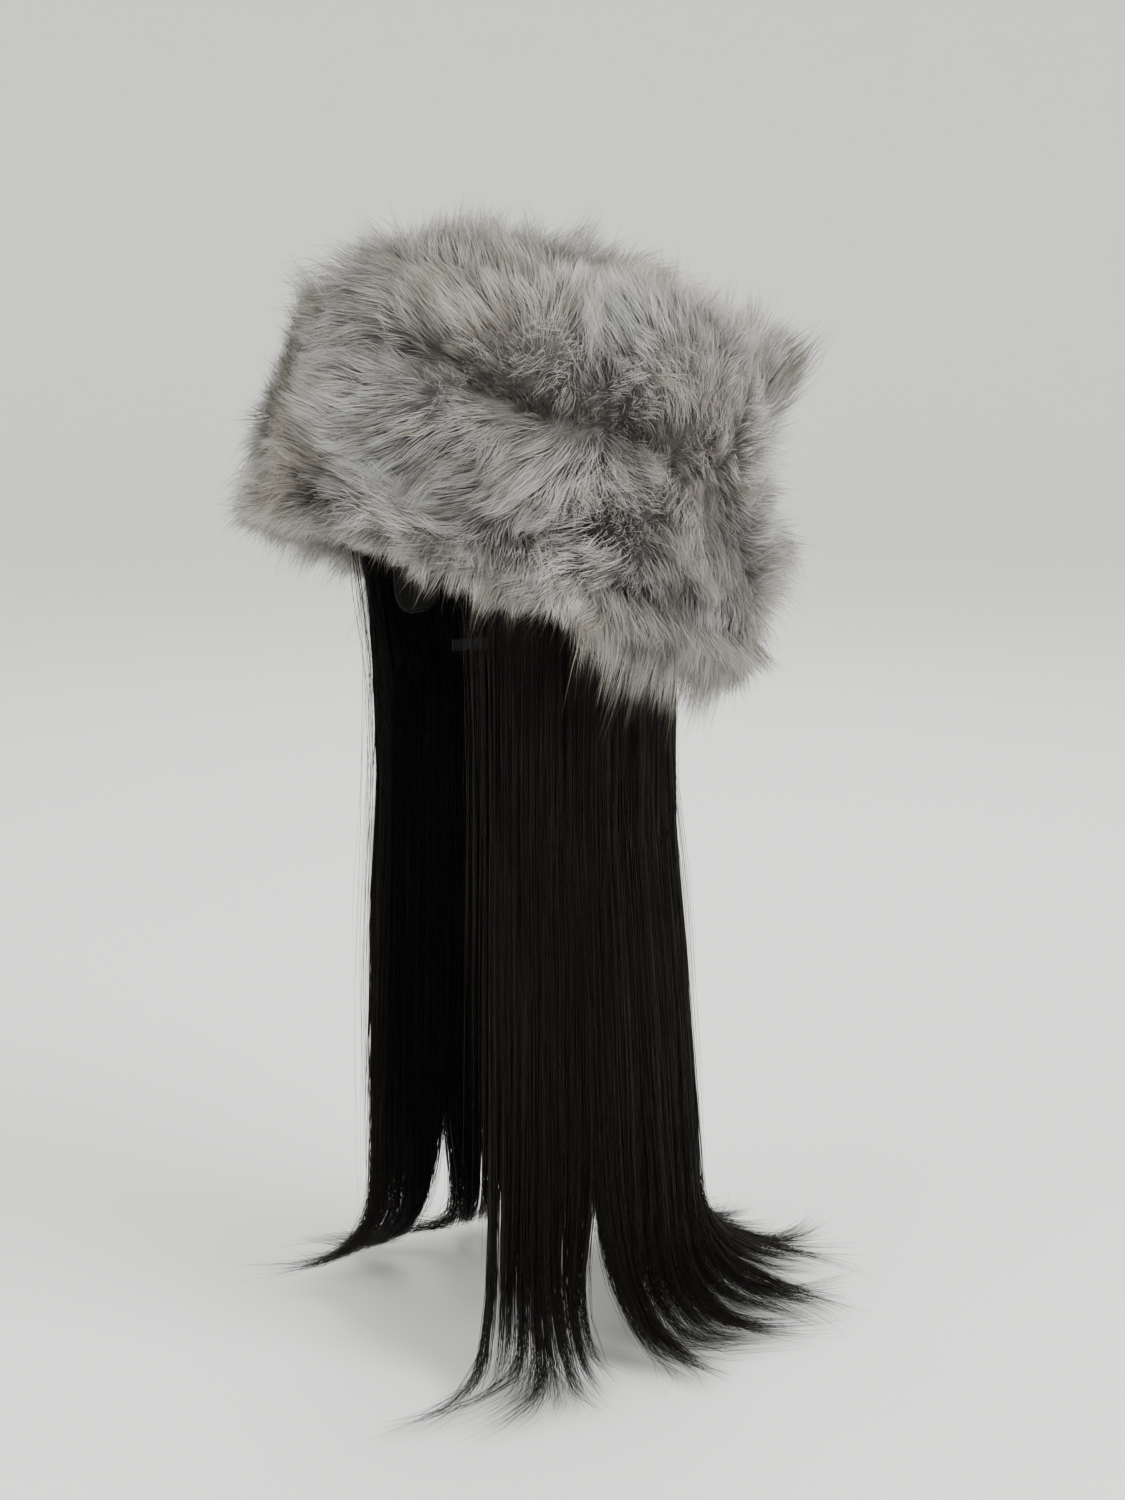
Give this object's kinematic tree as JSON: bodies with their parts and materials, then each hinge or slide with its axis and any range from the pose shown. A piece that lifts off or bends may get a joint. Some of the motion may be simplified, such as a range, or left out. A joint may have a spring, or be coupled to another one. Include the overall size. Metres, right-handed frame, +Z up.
{
  "type": "costume wig",
  "caption": "Very long straight near-black wig on a stretch cap, worn under a tall grey faux-fur hat that lifts off the crown.",
  "frame": {"origin": "middle of the head at brow height, where the head enters the cap", "axes": "+Z up along the head; the face looks along -Y and the wearer's left is +X"},
  "size_m": [0.3048, 0.3879, 0.6419],
  "materials": {
    "hair": "straight synthetic fibre with a low sheen",
    "cap_net": "black stretch net",
    "cap_velvet": "black velvet ribbon",
    "weft_tape": "machine-sewn weft",
    "parting_skin": "skin-coloured monofilament",
    "elastic": "ribbed black elastic",
    "comb_plastic": "dark brown moulded plastic",
    "steel": "plain sheet steel",
    "fur": "long grey faux-fur pile",
    "fur_backing": "knitted backing",
    "wadding": "white polyester wadding",
    "lining": "grey satin",
    "sweatband": "black grosgrain ribbon"
  },
  "bodies": {
    "wig": {"hair_crown_left": "hair", "hair_crown_right": "hair", "hair_front_left": "hair", "hair_front_right": "hair", "hair_temple_left": "hair", "hair_temple_right": "hair", "hair_side_left": "hair", "hair_side_right": "hair", "hair_back_left": "hair", "hair_back_right": "hair", "hair_nape": "hair", "cap_crown_net": "cap_net", "cap_nape_panel": "cap_net", "cap_front_band": "cap_velvet", "cap_nape_band": "cap_velvet", "ear_tab_left": "cap_velvet", "ear_tab_right": "cap_velvet", "weft_row_1": "weft_tape", "weft_row_2": "weft_tape", "weft_row_3": "weft_tape", "weft_row_4": "weft_tape", "weft_row_5": "weft_tape", "weft_row_6": "weft_tape", "weft_row_nape_1": "weft_tape", "weft_row_nape_2": "weft_tape", "parting_patch": "parting_skin", "strap_left": "elastic", "strap_right": "elastic", "strap_loops": "elastic", "comb_left": "comb_plastic", "comb_right": "comb_plastic", "comb_nape": "comb_plastic", "ear_stay_left": "steel", "ear_stay_right": "steel"},
    "hat": {"fur_crown": "fur", "fur_front": "fur", "fur_back": "fur", "fur_left": "fur", "fur_right": "fur", "fur_rim": "fur", "hat_crown_backing": "fur_backing", "hat_band_backing_front": "fur_backing", "hat_band_backing_back": "fur_backing", "hat_crown_seam": "fur_backing", "hat_wadding": "wadding", "hat_lining": "lining", "hat_rim_binding": "lining", "hat_sweatband": "sweatband"},
    "hook_left": {"strap_hook_left": "steel"},
    "hook_right": {"strap_hook_right": "steel"}
  },
  "joints": [
    {"name": "hat_lift", "type": "slide", "parent": "wig", "child": "hat", "axis": [0, 0.3338, 0.9426], "range_m": [0, 0.25]},
    {"name": "strap_adjust_left", "type": "hinge", "parent": "wig", "child": "hook_left", "pos_m": [0, 0.03041, -0.0565], "axis": [0, 0, 1], "range_deg": [0, 16.5]},
    {"name": "strap_adjust_right", "type": "hinge", "parent": "wig", "child": "hook_right", "pos_m": [0, 0.03041, -0.0565], "axis": [0, 0, -1], "range_deg": [0, 16.5]}
  ]
}
